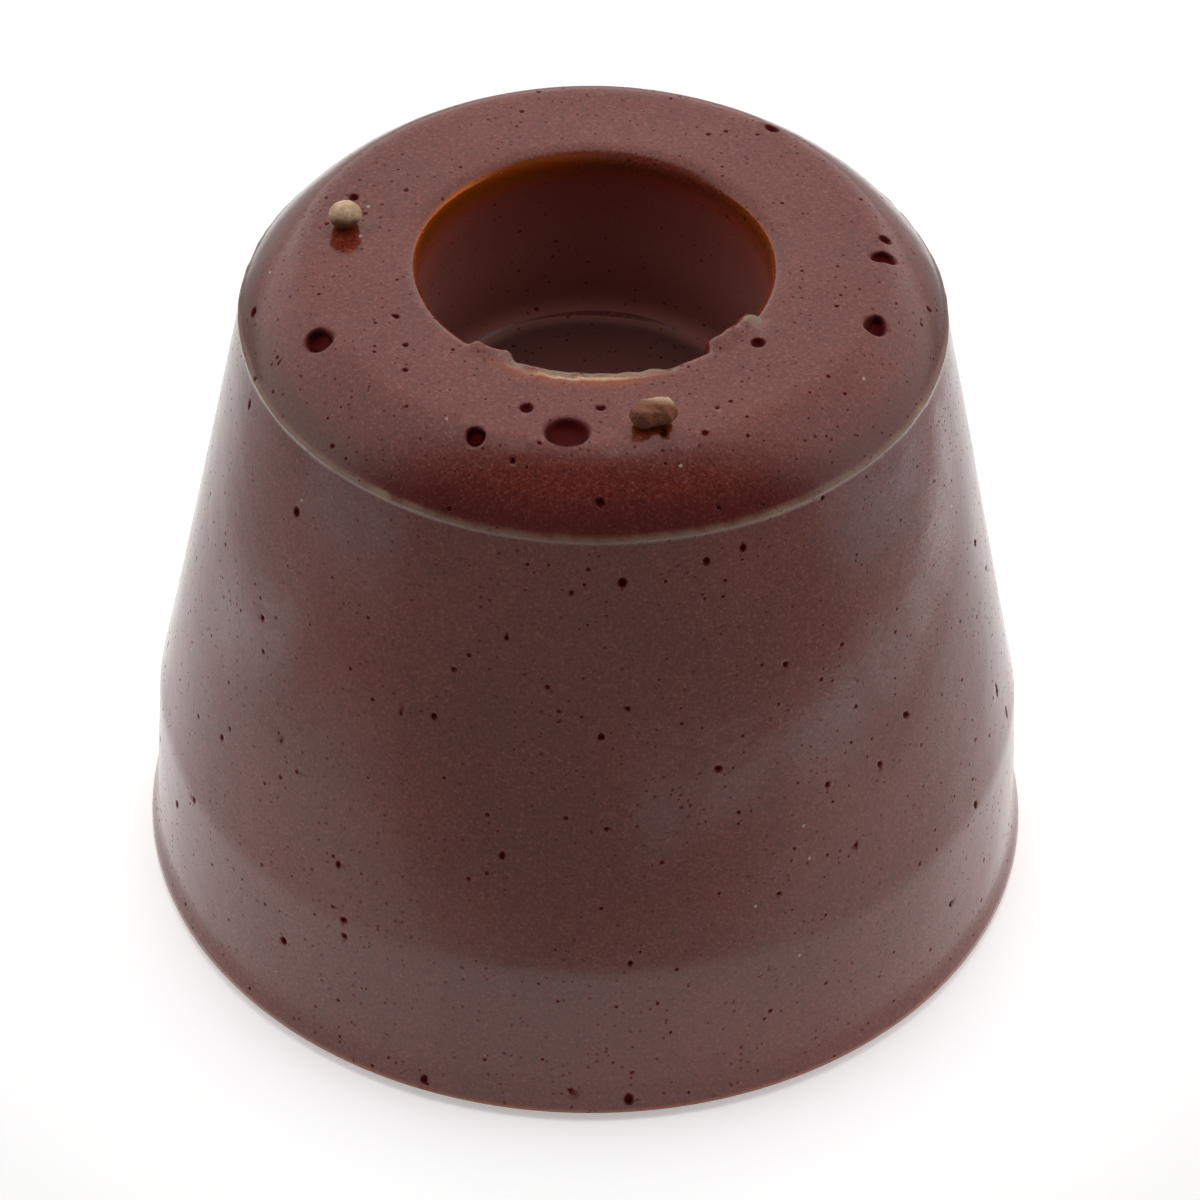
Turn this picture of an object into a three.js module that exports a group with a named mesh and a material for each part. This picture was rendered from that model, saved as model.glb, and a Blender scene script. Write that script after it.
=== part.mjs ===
// A small brown-glazed porcelain pin insulator: a turned, tapered body with its narrow end up, a blind
// recess in that end, and a pin hole in the wide end that holds a threaded thimble bedded in cement.
// Millimetres, +Z up. The origin is the middle of the foot, and every turned piece shares the Z axis.
import * as THREE from "three";
import { mergeVertices } from "three/addons/utils/BufferGeometryUtils.js";

// ---- Driving dimensions -------------------------------------------------------------------------------

// The glazed outside, from the foot up.
const BASE_RADIUS = 19.0; // at the glaze's lower edge
const HEIGHT = 30.1; // foot to the flat top land
const FLARE_WIDTH = 0.3; // how far that edge stands out from the band
const FLARE_HEIGHT = 1.5; // height of the band's foot
const BAND_DRAFT = 0.4; // how far the near-upright band leans in over its height
const BAND_TOP = 7.85; // height of the bend between the band and the cone
const HEAD_RADIUS = 14.25; // top of the cone, where the crown begins
const CROWN_DROP = 2.6; // the top land down to the head of the cone
const CROWN_WIDTH = 2.65; // the head of the cone in to the top land
const CROWN_POWER = 1.215; // 1 is a straight chamfer and 2 a quarter of an ellipse

// The blind recess in the top land.
const RECESS_RADIUS = 7.07;
const RECESS_DEPTH = 8.4;
const LIP_RADIUS = 0.6; // rounding between the top land and the recess wall
const RECESS_CORNER = 0.8; // rounding between the recess wall and its floor

// The glaze, and the bare foot that it stops short of.
const GLAZE = 0.4; // thickness of the glass skin
const BARE_FOOT = 0.35; // height of the glaze's lower edge above the foot

// The pin hole, and the pieces bedded in it.
const WEB = 5.2; // porcelain between the recess floor and the end of the pin hole
const HOLE_CHAMFER = 0.9; // at the hole's mouth
const CEMENT = 1.9; // thickness of the cement round the thimble
const CUSHION = 1.0; // thickness of the cork disc at the end of the hole
const CUSHION_MARGIN = 0.35; // the disc's edge to the hole's wall
const THIMBLE_WALL = 1.1; // metal outside the roots of its thread
const THIMBLE_END = 1.1; // thickness of its closed end
const THIMBLE_INSET = 0.5; // its mouth above the foot
const RIB_COUNT = 3; // round the outside of the thimble, to key it in the cement
const RIB_DEPTH = 0.45;
const RIB_WIDTH = 1.2;
const SEAL_INSET = 0.9; // the bitumen seal's face above the foot
const SEAL = 0.7; // its thickness

// The pin's thread, cut in the thimble: a 10 mm coarse thread.
const THREAD_RADIUS = 5.0; // at the roots
const THREAD_PITCH = 1.5;
const THREAD_DEPTH = 0.81;
const THREAD_ROWS = 4; // rows of faces in one pitch

// Two crumbs of kiln grit that the firing stuck to the top land. Angles are in degrees from +X.
const BEAD_RADIUS = 0.66;
const BEAD_ANGLE = 169.8;
const BEAD_INSET = 1.4; // from the edge of the top land
const BEAD_SINK = 0.22; // the part of the bead that is below the glaze
const CRUMB_SIZE = [1.0, 0.62, 0.55]; // half its length, width and height
const CRUMB_ANGLE = -76.8;
const CRUMB_INSET = 1.0;
const CRUMB_SINK = 0.12;

const FIT_GAP = 0.05; // between pieces that bed on each other
const SEGMENTS = 48; // sides of every turned piece

// ---- Sizes that follow from them ----------------------------------------------------------------------

const landRadius = HEAD_RADIUS - CROWN_WIDTH;
const recessFloor = HEIGHT - RECESS_DEPTH;
const holeEnd = recessFloor - GLAZE - FIT_GAP - WEB;
const cushionFace = holeEnd - FIT_GAP - CUSHION;
const thimbleTop = cushionFace - FIT_GAP;
const boreEnd = thimbleTop - THIMBLE_END;
const cementFoot = SEAL_INSET + SEAL + FIT_GAP;
const boreRadius = THREAD_RADIUS - THREAD_DEPTH;
const thimbleRadius = THREAD_RADIUS + THIMBLE_WALL;
const pinHoleRadius = thimbleRadius + CEMENT;

// ---- Profiles: lists of [radius, height] --------------------------------------------------------------

// Points on an arc about a centre, with both of its ends. Angles are in degrees from the outward radius.
function arc([r, z], radius, from, to, steps) {
  return Array.from({ length: steps + 1 }, (_, i) => {
    const a = THREE.MathUtils.degToRad(from + ((to - from) * i) / steps);
    return [r + radius * Math.cos(a), z + radius * Math.sin(a)];
  });
}

// The crown's curve, from the head of the cone up and in to the edge of the top land.
function crown(steps) {
  return Array.from({ length: steps + 1 }, (_, i) => {
    const a = ((i / steps) * Math.PI) / 2;
    return [
      landRadius + CROWN_WIDTH * Math.cos(a) ** (2 / CROWN_POWER),
      HEIGHT - CROWN_DROP + CROWN_DROP * Math.sin(a) ** (2 / CROWN_POWER),
    ];
  });
}

// The glazed surface, from its lower edge over the top and down to the middle of the recess floor.
function outside() {
  return [
    [BASE_RADIUS, BARE_FOOT],
    [BASE_RADIUS - FLARE_WIDTH, FLARE_HEIGHT],
    [BASE_RADIUS - FLARE_WIDTH - BAND_DRAFT, BAND_TOP],
    ...crown(5),
    ...arc([RECESS_RADIUS + LIP_RADIUS, HEIGHT - LIP_RADIUS], LIP_RADIUS, 90, 180, 3),
    ...arc([RECESS_RADIUS - RECESS_CORNER, recessFloor + RECESS_CORNER], RECESS_CORNER, 0, -90, 3),
    [0, recessFloor],
  ];
}

// The same line moved inwards by a distance, with each corner moved to where its two sides meet.
function inset(line, distance) {
  const normal = ([r0, z0], [r1, z1]) => {
    const length = Math.hypot(r1 - r0, z1 - z0);
    return [-(z1 - z0) / length, (r1 - r0) / length];
  };
  return line.map((point, i) => {
    const before = i > 0 ? normal(line[i - 1], point) : normal(point, line[1]);
    const after = i < line.length - 1 ? normal(point, line[i + 1]) : before;
    const shared = 1 + before[0] * after[0] + before[1] * after[1];
    return [
      point[0] + (distance * (before[0] + after[0])) / shared,
      point[1] + (distance * (before[1] + after[1])) / shared,
    ];
  });
}

// The line with its first side cut off level, or run on, at a height below the line's second point.
function cutAt(line, height) {
  const [[r0, z0], [r1, z1]] = line;
  return [[r0 + ((r1 - r0) * (height - z0)) / (z1 - z0), height], ...line.slice(1)];
}

// The thimble's ribbed outside, moved out by a distance, from its lowest point to its highest.
function ribbed(bottom, top, distance) {
  const step = (top - bottom) / (RIB_COUNT + 1);
  const points = [[thimbleRadius + distance, bottom]];
  for (let i = 1; i <= RIB_COUNT; i += 1) {
    const middle = bottom + i * step;
    points.push(
      [thimbleRadius + distance, middle - RIB_WIDTH / 2 - RIB_DEPTH],
      [thimbleRadius + distance + RIB_DEPTH, middle - RIB_WIDTH / 2],
      [thimbleRadius + distance + RIB_DEPTH, middle + RIB_WIDTH / 2],
      [thimbleRadius + distance, middle + RIB_WIDTH / 2 + RIB_DEPTH],
    );
  }
  points.push([thimbleRadius + distance, top]);
  return points;
}

// ---- Solids -------------------------------------------------------------------------------------------

// A solid turned from a profile that runs anticlockwise round its section, with the radius to the right.
function turned(profile) {
  const points = profile.map(([r, z]) => new THREE.Vector2(r, z));
  return new THREE.LatheGeometry(points, SEGMENTS).rotateX(Math.PI / 2);
}

// The porcelain: the glazed line moved in by the glaze, the bare foot, and the pin hole.
function porcelainBody() {
  const skin = cutAt(inset(outside(), GLAZE + FIT_GAP), 0);
  return turned([
    [0, holeEnd],
    [pinHoleRadius, holeEnd],
    [pinHoleRadius, HOLE_CHAMFER],
    [pinHoleRadius + HOLE_CHAMFER, 0],
    ...skin.slice(0, -1),
    [0, recessFloor - GLAZE - FIT_GAP],
  ]);
}

// The glass skin over the outside, the top land and the recess, open at the foot.
function glazeCoat() {
  const outer = outside();
  const inner = cutAt(inset(outer, GLAZE), BARE_FOOT);
  return turned([...outer, [0, recessFloor - GLAZE], ...inner.slice(0, -1).reverse(), outer[0]]);
}

// The thimble: a cup with its mouth down, ribbed outside, with the pin's thread in its bore.
function pinThimble() {
  const bore = [];
  const rows = Math.ceil(((boreEnd - THIMBLE_INSET) / THREAD_PITCH) * THREAD_ROWS);
  for (let i = 0; i <= rows; i += 1) {
    bore.push([boreRadius, boreEnd + ((THIMBLE_INSET - boreEnd) * i) / rows]);
  }
  const solid = turned([
    [0, boreEnd],
    ...bore,
    ...ribbed(THIMBLE_INSET, thimbleTop, 0),
    [0, thimbleTop],
  ]);
  const at = solid.attributes.position;
  for (let i = 0; i < at.count; i += 1) {
    const radius = Math.hypot(at.getX(i), at.getY(i));
    if (Math.abs(radius - boreRadius) > FIT_GAP || at.getZ(i) > boreEnd - THREAD_PITCH / 2) continue;
    const turn = Math.atan2(at.getY(i), at.getX(i)) / (2 * Math.PI);
    const phase = THREE.MathUtils.euclideanModulo(at.getZ(i) / THREAD_PITCH - turn, 1);
    const cut = THREAD_DEPTH * (1 - Math.abs(2 * phase - 1));
    at.setX(i, (at.getX(i) * (boreRadius + cut)) / radius);
    at.setY(i, (at.getY(i) * (boreRadius + cut)) / radius);
  }
  return solid;
}

// The cement between the thimble and the porcelain, from the seal up to the cork disc.
function cementSleeve() {
  const wall = pinHoleRadius - FIT_GAP;
  const inside = ribbed(THIMBLE_INSET, thimbleTop, FIT_GAP).filter(([, z]) => z > cementFoot);
  return turned([
    [thimbleRadius + FIT_GAP, cementFoot],
    [wall, cementFoot],
    [wall, thimbleTop],
    ...inside.reverse(),
    [thimbleRadius + FIT_GAP, cementFoot],
  ]);
}

// A flat ring, or a disc where its inner radius is 0.
function ring(inner, outer, bottom, top) {
  const corners = [[inner, bottom], [outer, bottom], [outer, top], [inner, top]];
  return turned(inner > 0 ? [...corners, corners[0]] : corners);
}

// A crumb seated on the top land: what is below the land is pressed flat on it.
function seated(geometry, sink) {
  const solid = geometry.translate(0, 0, -sink);
  const at = solid.attributes.position;
  for (let i = 0; i < at.count; i += 1) at.setZ(i, Math.max(at.getZ(i), FIT_GAP));
  return solid;
}

function gritBead() {
  return seated(new THREE.SphereGeometry(BEAD_RADIUS, 16, 12).translate(0, 0, BEAD_RADIUS), BEAD_SINK);
}

// A lump whose surface swells and sinks by a few slow waves.
function gritCrumb() {
  const ball = new THREE.IcosahedronGeometry(1, 3);
  const lump = mergeVertices(ball.deleteAttribute("normal").deleteAttribute("uv"));
  const [length, width, height] = CRUMB_SIZE;
  const at = lump.attributes.position;
  for (let i = 0; i < at.count; i += 1) {
    const [x, y, z] = [at.getX(i), at.getY(i), at.getZ(i)];
    const waves = 0.1 * Math.sin(3.1 * x + 1.2) + 0.08 * Math.sin(4.3 * y) - 0.07 * Math.sin(5 * z + x);
    at.setXYZ(i, x * (1 + waves) * length, y * (1 + waves) * width, z * (1 + waves) * height);
  }
  return seated(lump.translate(0, 0, height), CRUMB_SINK);
}

// ---- Materials and the assembly -----------------------------------------------------------------------

const materials = {
  glaze: new THREE.MeshStandardMaterial({ color: 0x6b2d25, roughness: 0.12 }),
  porcelain: new THREE.MeshStandardMaterial({ color: 0xc9bba6, roughness: 0.85 }),
  zinc: new THREE.MeshStandardMaterial({ color: 0x9ba1a5, roughness: 0.45, metalness: 1 }),
  cement: new THREE.MeshStandardMaterial({ color: 0x96928a, roughness: 0.95 }),
  cork: new THREE.MeshStandardMaterial({ color: 0xa97b4f, roughness: 0.9 }),
  bitumen: new THREE.MeshStandardMaterial({ color: 0x1c1a18, roughness: 0.5 }),
  grit: new THREE.MeshStandardMaterial({ color: 0xb1957c, roughness: 0.9 }),
};

const insulator = new THREE.Group();

function add(name, geometry, material, parent = insulator) {
  const mesh = new THREE.Mesh(geometry, material);
  mesh.name = name;
  parent.add(mesh);
  return mesh;
}

// A place on the top land, at an angle round the axis and a distance in from the land's edge.
function onLand(angle, inFromEdge) {
  const turn = THREE.MathUtils.degToRad(angle);
  const place = new THREE.Group();
  place.position.set(Math.cos(turn), Math.sin(turn), 0).multiplyScalar(landRadius - inFromEdge);
  place.position.z = HEIGHT;
  place.rotation.z = turn + Math.PI / 2;
  insulator.add(place);
  return place;
}

add("porcelain_body", porcelainBody(), materials.porcelain);
add("glaze_coat", glazeCoat(), materials.glaze);
add("pin_thimble", pinThimble(), materials.zinc);
add("cement_sleeve", cementSleeve(), materials.cement);
add("cushion_disc", ring(0, pinHoleRadius - CUSHION_MARGIN, cushionFace, holeEnd - FIT_GAP), materials.cork);
add(
  "bitumen_seal",
  ring(thimbleRadius + FIT_GAP, pinHoleRadius - FIT_GAP, SEAL_INSET, SEAL_INSET + SEAL),
  materials.bitumen,
);
add("grit_bead", gritBead(), materials.grit, onLand(BEAD_ANGLE, BEAD_INSET));
add("grit_crumb", gritCrumb(), materials.grit, onLand(CRUMB_ANGLE, CRUMB_INSET));

export default insulator;
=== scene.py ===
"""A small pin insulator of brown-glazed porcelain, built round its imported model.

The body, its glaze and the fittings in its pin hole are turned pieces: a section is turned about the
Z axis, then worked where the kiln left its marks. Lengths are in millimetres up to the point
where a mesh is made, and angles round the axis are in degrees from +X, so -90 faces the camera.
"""

import math

import bmesh
import bpy
import numpy as np
from mathutils import Matrix, Vector


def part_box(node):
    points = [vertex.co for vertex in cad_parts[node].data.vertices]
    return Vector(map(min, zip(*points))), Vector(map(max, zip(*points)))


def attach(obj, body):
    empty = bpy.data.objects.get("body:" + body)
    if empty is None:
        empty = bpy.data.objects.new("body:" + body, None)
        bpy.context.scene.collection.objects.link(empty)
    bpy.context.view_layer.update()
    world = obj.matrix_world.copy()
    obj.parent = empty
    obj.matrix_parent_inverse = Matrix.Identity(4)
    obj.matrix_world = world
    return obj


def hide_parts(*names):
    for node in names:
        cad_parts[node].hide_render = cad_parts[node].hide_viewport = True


MM = 0.001

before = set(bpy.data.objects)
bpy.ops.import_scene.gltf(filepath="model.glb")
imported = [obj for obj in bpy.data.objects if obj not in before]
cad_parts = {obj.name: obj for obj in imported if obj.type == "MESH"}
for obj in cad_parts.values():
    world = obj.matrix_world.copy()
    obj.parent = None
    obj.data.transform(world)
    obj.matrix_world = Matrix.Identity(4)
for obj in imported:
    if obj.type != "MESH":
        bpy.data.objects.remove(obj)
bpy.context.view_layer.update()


# ---- Sizes --------------------------------------------------------------------------------------------


def edges(node):
    """The outer radius, lowest height and highest height of a turned node, in millimetres."""
    low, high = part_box(node)
    return high[0] / MM, low[2] / MM, high[2] / MM


BASE_RADIUS, GLAZE_FOOT, HEIGHT = edges("glaze_coat")
BODY_RADIUS, _, _ = edges("porcelain_body")
THIMBLE_RIB_RADIUS, THIMBLE_MOUTH, THIMBLE_TOP = edges("pin_thimble")
HOLE_RADIUS, CEMENT_FOOT, CEMENT_TOP = edges("cement_sleeve")
CUSHION_RADIUS, CUSHION_FACE, CUSHION_TOP = edges("cushion_disc")
_, SEAL_FACE, SEAL_TOP = edges("bitumen_seal")

FIT_GAP = 0.05
FLARE_WIDTH = 0.3
FLARE_HEIGHT = 1.5
BAND_DRAFT = 0.4
BAND_TOP = 7.85
HEAD_RADIUS = 14.25
CROWN_DROP = 2.6
CROWN_WIDTH = 2.65
CROWN_POWER = 1.215
RECESS_RADIUS = 7.07
RECESS_DEPTH = 8.4
LIP_RADIUS = 0.6
RECESS_CORNER = 0.8
GLAZE = 0.4
HOLE_CHAMFER = 0.9
RIB_COUNT = 3
RIB_DEPTH = 0.45
RIB_WIDTH = 1.2
THREAD_RADIUS = 5.0
THREAD_DEPTH = 0.81
THREAD_PITCH = 1.5
THIMBLE_END = 1.1

LAND_RADIUS = HEAD_RADIUS - CROWN_WIDTH
RECESS_FLOOR = HEIGHT - RECESS_DEPTH
THIMBLE_RADIUS = THIMBLE_RIB_RADIUS - RIB_DEPTH


# ---- Shader and geometry nodes ------------------------------------------------------------------------


class Wire:
    """A node's output. Sums on wires add Math nodes."""

    def __init__(self, graph, socket):
        self.graph, self.socket = graph, socket

    def math(self, operation, *values):
        return self.graph.node("ShaderNodeMath", {"operation": operation}, dict(enumerate(values)))

    def most(self, other):
        return self.math("MAXIMUM", self, other)

    def least(self, other):
        return self.math("MINIMUM", self, other)

    def __add__(self, other):
        return self.math("ADD", self, other)

    def __radd__(self, other):
        return self.math("ADD", other, self)

    def __sub__(self, other):
        return self.math("SUBTRACT", self, other)

    def __rsub__(self, other):
        return self.math("SUBTRACT", other, self)

    def __mul__(self, other):
        return self.math("MULTIPLY", self, other)

    def __rmul__(self, other):
        return self.math("MULTIPLY", other, self)

    def __truediv__(self, other):
        return self.math("DIVIDE", self, other)

    def __lt__(self, other):
        return self.math("LESS_THAN", self, other)

    def ramp(self, low, high):
        """0 below low, 1 above high and an S-curve between. It falls where low is above high."""
        if low > high:
            return 1 - self.ramp(high, low)
        settings = {"interpolation_type": "SMOOTHSTEP"}
        inputs = {"Value": self, "From Min": low, "From Max": high}
        return self.graph.node("ShaderNodeMapRange", settings, inputs)


class Graph:
    """A node tree that is being filled."""

    def __init__(self, tree):
        self.tree = tree

    def node(self, kind, settings=None, inputs=None, out=0):
        """Adds a node, sets its settings first and then its sockets, and returns one of its outputs."""
        made = self.tree.nodes.new(kind)
        for name, value in (settings or {}).items():
            if name == "stops":
                while len(made.color_ramp.elements) < len(value):
                    made.color_ramp.elements.new(1.0)
                for element, (place, colour) in zip(made.color_ramp.elements, value):
                    element.position = place
                    element.color = (*colour, 1.0)
            else:
                setattr(made, name, value)
        for key, value in (inputs or {}).items():
            if isinstance(value, Wire):
                self.tree.links.new(value.socket, made.inputs[key])
            elif value is not None:
                made.inputs[key].default_value = value
        return Wire(self, made.outputs[out])

    def mix(self, factor, first, second, blend="MIX"):
        """A colour between two colours, each a wire or three numbers."""
        first, second = (c if isinstance(c, Wire) else (*c, 1.0) for c in (first, second))
        settings = {"data_type": "RGBA", "blend_type": blend}
        return self.node("ShaderNodeMix", settings, {0: factor, 6: first, 7: second}, out=2)

    def noise(self, place, scale, detail=2.0, rough=0.5, out="Fac"):
        inputs = {"Vector": place, "Scale": scale, "Detail": detail, "Roughness": rough}
        return self.node("ShaderNodeTexNoise", None, inputs, out)

    def cells(self, place, scale):
        """How far a place is from its cell's middle, in cells, and a chance from 0 to 1 for each cell."""
        away = self.node("ShaderNodeTexVoronoi", None, {"Vector": place, "Scale": scale})
        tint = Wire(self, away.socket.node.outputs["Color"])
        return away, self.node("ShaderNodeSeparateColor", None, {0: tint})


class Finish(Graph):
    """A material with one Principled shader. Object coordinates are in millimetres."""

    def __init__(self, name, **constant):
        self.material = bpy.data.materials.new(name)
        self.material.use_nodes = True
        super().__init__(self.material.node_tree)
        self.shader = self.tree.nodes["Principled BSDF"]
        for socket, value in constant.items():
            self.shader.inputs[socket.replace("_", " ")].default_value = value
        place = self.node("ShaderNodeTexCoord", out="Object")
        self.place = self.node("ShaderNodeVectorMath", {"operation": "SCALE"}, {0: place, "Scale": 1 / MM})

    def attribute(self, name):
        return self.node("ShaderNodeAttribute", {"attribute_name": name}, out="Fac")

    def set(self, socket, value):
        self.tree.links.new(value.socket, self.shader.inputs[socket])

    def relief(self, height, depth):
        """Bump from a height between 0 and 1, with its real depth in millimetres."""
        inputs = {"Strength": 1.0, "Distance": depth * MM, "Height": height}
        self.set("Normal", self.node("ShaderNodeBump", None, inputs, "Normal"))


# ---- Sections -----------------------------------------------------------------------------------------


def arc(centre, radius, start, end, steps=12):
    """Points on an arc of a section, with both ends. Angles are in degrees from the radius outwards."""
    turn = np.radians(np.linspace(start, end, steps + 1))
    return np.column_stack([centre[0] + radius * np.cos(turn), centre[1] + radius * np.sin(turn)])


def crown(steps=48):
    """The crown's curve, from the edge of the top land down to the head of the cone."""
    turn = np.linspace(math.pi / 2, 0, steps + 1)
    radius = LAND_RADIUS + CROWN_WIDTH * np.maximum(np.cos(turn), 0) ** (2 / CROWN_POWER)
    height = HEIGHT - CROWN_DROP + CROWN_DROP * np.maximum(np.sin(turn), 0) ** (2 / CROWN_POWER)
    return np.column_stack([radius, height])


def glazed_line():
    """The glazed surface, from the middle of the recess floor up and over to the top of the foot's edge."""
    return np.vstack([
        [[0, RECESS_FLOOR]],
        arc((RECESS_RADIUS - RECESS_CORNER, RECESS_FLOOR + RECESS_CORNER), RECESS_CORNER, -90, 0),
        arc((RECESS_RADIUS + LIP_RADIUS, HEIGHT - LIP_RADIUS), LIP_RADIUS, 180, 90),
        crown(),
        [[BASE_RADIUS - FLARE_WIDTH - BAND_DRAFT, BAND_TOP]],
        [[BASE_RADIUS - FLARE_WIDTH, FLARE_HEIGHT]],
        [[BASE_RADIUS, GLAZE_FOOT + GLAZE / 2]],
    ])


def inset(depth):
    """The glazed line moved into the body, without the stretches that a sharp corner folds over."""
    line = Section(glazed_line())
    moved = line.points - line.normals * depth
    away = np.array([np.hypot(*(line.points - point).T).min() for point in moved])
    return moved[away > depth - 0.004]


def ribbed(gap, bottom, top):
    """The thimble's ribbed outside, moved out by a gap, from its lowest point to its highest."""
    step = (THIMBLE_TOP - THIMBLE_MOUTH) / (RIB_COUNT + 1)
    root, crest, half = THIMBLE_RADIUS + gap, THIMBLE_RIB_RADIUS + gap, RIB_WIDTH / 2
    points = [(root, bottom)]
    for i in range(RIB_COUNT):
        middle = THIMBLE_MOUTH + (i + 1) * step
        points += [(root, middle - half - RIB_DEPTH), (crest, middle - half)]
        points += [(crest, middle + half), (root, middle + half + RIB_DEPTH)]
    return [*points, (root, top)]


LINE_STEP = 0.01  # between the points that a section line is read at
LEAST_STEPS = 400


class Section:
    """A section line that can be read at any distance along it."""

    def __init__(self, points, soften=0.0):
        points = np.asarray(points, float)
        keep = np.r_[True, np.hypot(*np.diff(points, axis=0).T) > 1e-9]
        points = points[keep]
        along = np.r_[0, np.cumsum(np.hypot(*np.diff(points, axis=0).T))]
        self.length = along[-1]
        self.along = np.linspace(0, self.length, max(int(self.length / LINE_STEP), LEAST_STEPS))
        self.points = np.column_stack([np.interp(self.along, along, points[:, i]) for i in (0, 1)])
        if soften:
            self.points = self.softened(soften / (self.along[1] - self.along[0]))
        slope = np.gradient(self.points, self.along, axis=0)
        slope /= np.linalg.norm(slope, axis=1)[:, None]
        self.normals = np.column_stack([-slope[:, 1], slope[:, 0]])

    def softened(self, width):
        """The line with its corners rounded over a width, and its two ends kept."""
        half = int(3 * width)
        weight = np.exp(-0.5 * (np.arange(-half, half + 1) / width) ** 2)
        weight /= weight.sum()
        before = 2 * self.points[0] - self.points[half:0:-1]
        after = 2 * self.points[-1] - self.points[-2:-half - 2:-1]
        padded = np.vstack([before, self.points, after])
        return np.column_stack([np.convolve(padded[:, i], weight, "valid") for i in (0, 1)])

    def at(self, along):
        return np.column_stack([np.interp(along, self.along, self.points[:, i]) for i in (0, 1)])

    def normal(self, along):
        found = np.column_stack([np.interp(along, self.along, self.normals[:, i]) for i in (0, 1)])
        return found / np.linalg.norm(found, axis=1)[:, None]

    def nearest(self, radius, height):
        """The distance along the line of its point nearest to a place."""
        return self.along[np.argmin(np.hypot(self.points[:, 0] - radius, self.points[:, 1] - height))]

    def rows(self, fine, coarse, spots=()):
        """Distances along the line for rows of vertices: close at the spots, and wider away from them."""
        spots = np.array([*spots, 0, self.length]) if spots else np.array([])
        rows, at = [0.0], 0.0
        while at < self.length:
            gap = np.abs(spots - at).min() if len(spots) else coarse
            at += float(np.clip(fine + 0.25 * gap, fine, coarse))
            rows.append(at)
        return np.array(rows) * self.length / rows[-1]


# ---- Making meshes ------------------------------------------------------------------------------------


MERGE_GAP = 0.002
SHORTEST_EDGE = 0.0005


def skin(name, bm, material):
    """A smooth-shaded object from a mesh being edited, with its doubles merged and its faces out."""
    bmesh.ops.remove_doubles(bm, verts=bm.verts, dist=MERGE_GAP * MM)
    bmesh.ops.dissolve_degenerate(bm, dist=SHORTEST_EDGE * MM, edges=bm.edges)
    bmesh.ops.recalc_face_normals(bm, faces=bm.faces)
    mesh = bpy.data.meshes.new(name)
    bm.to_mesh(mesh)
    bm.free()
    mesh.materials.append(material)
    mesh.shade_smooth()
    piece = bpy.data.objects.new(name, mesh)
    bpy.context.scene.collection.objects.link(piece)
    return piece


def place(piece, node, slot):
    """Puts a finished piece on the one body, in place of its CAD node."""
    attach(piece, "root")
    if node:
        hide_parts(node)


def grid(columns, rows):
    """A flat grid of quads that is turned into a solid later, with the column in x and the row in y."""
    bm = bmesh.new()
    verts = [[bm.verts.new((c, r, 0)) for c in range(columns + 1)] for r in range(rows)]
    for low, high in zip(verts, verts[1:]):
        for c in range(columns):
            bm.faces.new((low[c], low[c + 1], high[c + 1], high[c]))
    return bm


def unrolled(flat, rows, columns, seam=0.0):
    """The angle and the distance along the section of points on a flat grid."""
    flat = np.array(flat)
    turn = flat[:, 0] * 2 * math.pi / columns + math.radians(seam)
    return turn, np.interp(flat[:, 1], np.arange(len(rows)), rows)


def spun(turn, radial):
    """Places in space for radii and heights at angles round the axis."""
    return np.column_stack([radial[:, 0] * np.cos(turn), radial[:, 0] * np.sin(turn), radial[:, 1]])


def waves(points, size, seed, count=7):
    """Smooth random swells between about -1 and 1, with humps of a size in millimetres."""
    rng = np.random.default_rng(seed)
    total = np.zeros(len(points))
    for _ in range(count):
        way = rng.normal(size=3)
        way *= 2 * math.pi / (size * rng.uniform(0.7, 1.6) * np.linalg.norm(way))
        total += np.sin(points @ way + rng.uniform(0, 2 * math.pi))
    return total / math.sqrt(count)


def turned_piece(name, section, material, columns=160, fine=0.12, coarse=0.6, spots=(), work=None):
    """A closed piece turned from a section, worked by a function that gives each place's push outwards."""
    rows = section.rows(fine, coarse, spots)
    bm = grid(columns, len(rows))
    turn, along = unrolled([v.co for v in bm.verts], rows, columns)
    places = spun(turn, section.at(along))
    if work:
        normals = spun(turn, section.normal(along))
        places = places + normals * work(places, turn, along)[:, None]
    for vert, spot in zip(bm.verts, places * MM):
        vert.co = spot
    return skin(name, bm, material)


# ---- Finishes -----------------------------------------------------------------------------------------


# Painted shade inside pinholes, which the mesh has only as a faint dent, over the deep glaze colour.
PINHOLE_SHADE_RED = (0.080, 0.0055, 0.0055)
# Partly the darker glaze pooled in pits, and partly painted shade of a deeper hollow.
PIT_SHADE_RED = (0.060, 0.0028, 0.0028)
# A darker band just above the ridge.
RIDGE_BAND_BROWN = (0.050, 0.0060, 0.0040)
# Amber of thin glaze, with painted glow of light through the lip and below its front, and painted highlight
# on the ridge.
AMBER_BREAK_AND_GLOW = (0.42, 0.085, 0.004)
# Pale of chipped and worn glaze, and painted highlight along the ridge.
PALE_WEAR_AND_HIGHLIGHT = (0.24, 0.190, 0.125)
# Painted highlight along the front of the lip.
LIP_HIGHLIGHT_COLOUR = (0.86, 0.66, 0.34)
HOLE_SHADE_METALLIC = 0.97  # metallic share of pits and pinholes: it keeps the sheen off them, as painted shade in deep holes
AMBER_DEPTH = 0.62  # the same for the amber of thin glaze and of the painted glows, beside that of the pits


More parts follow.
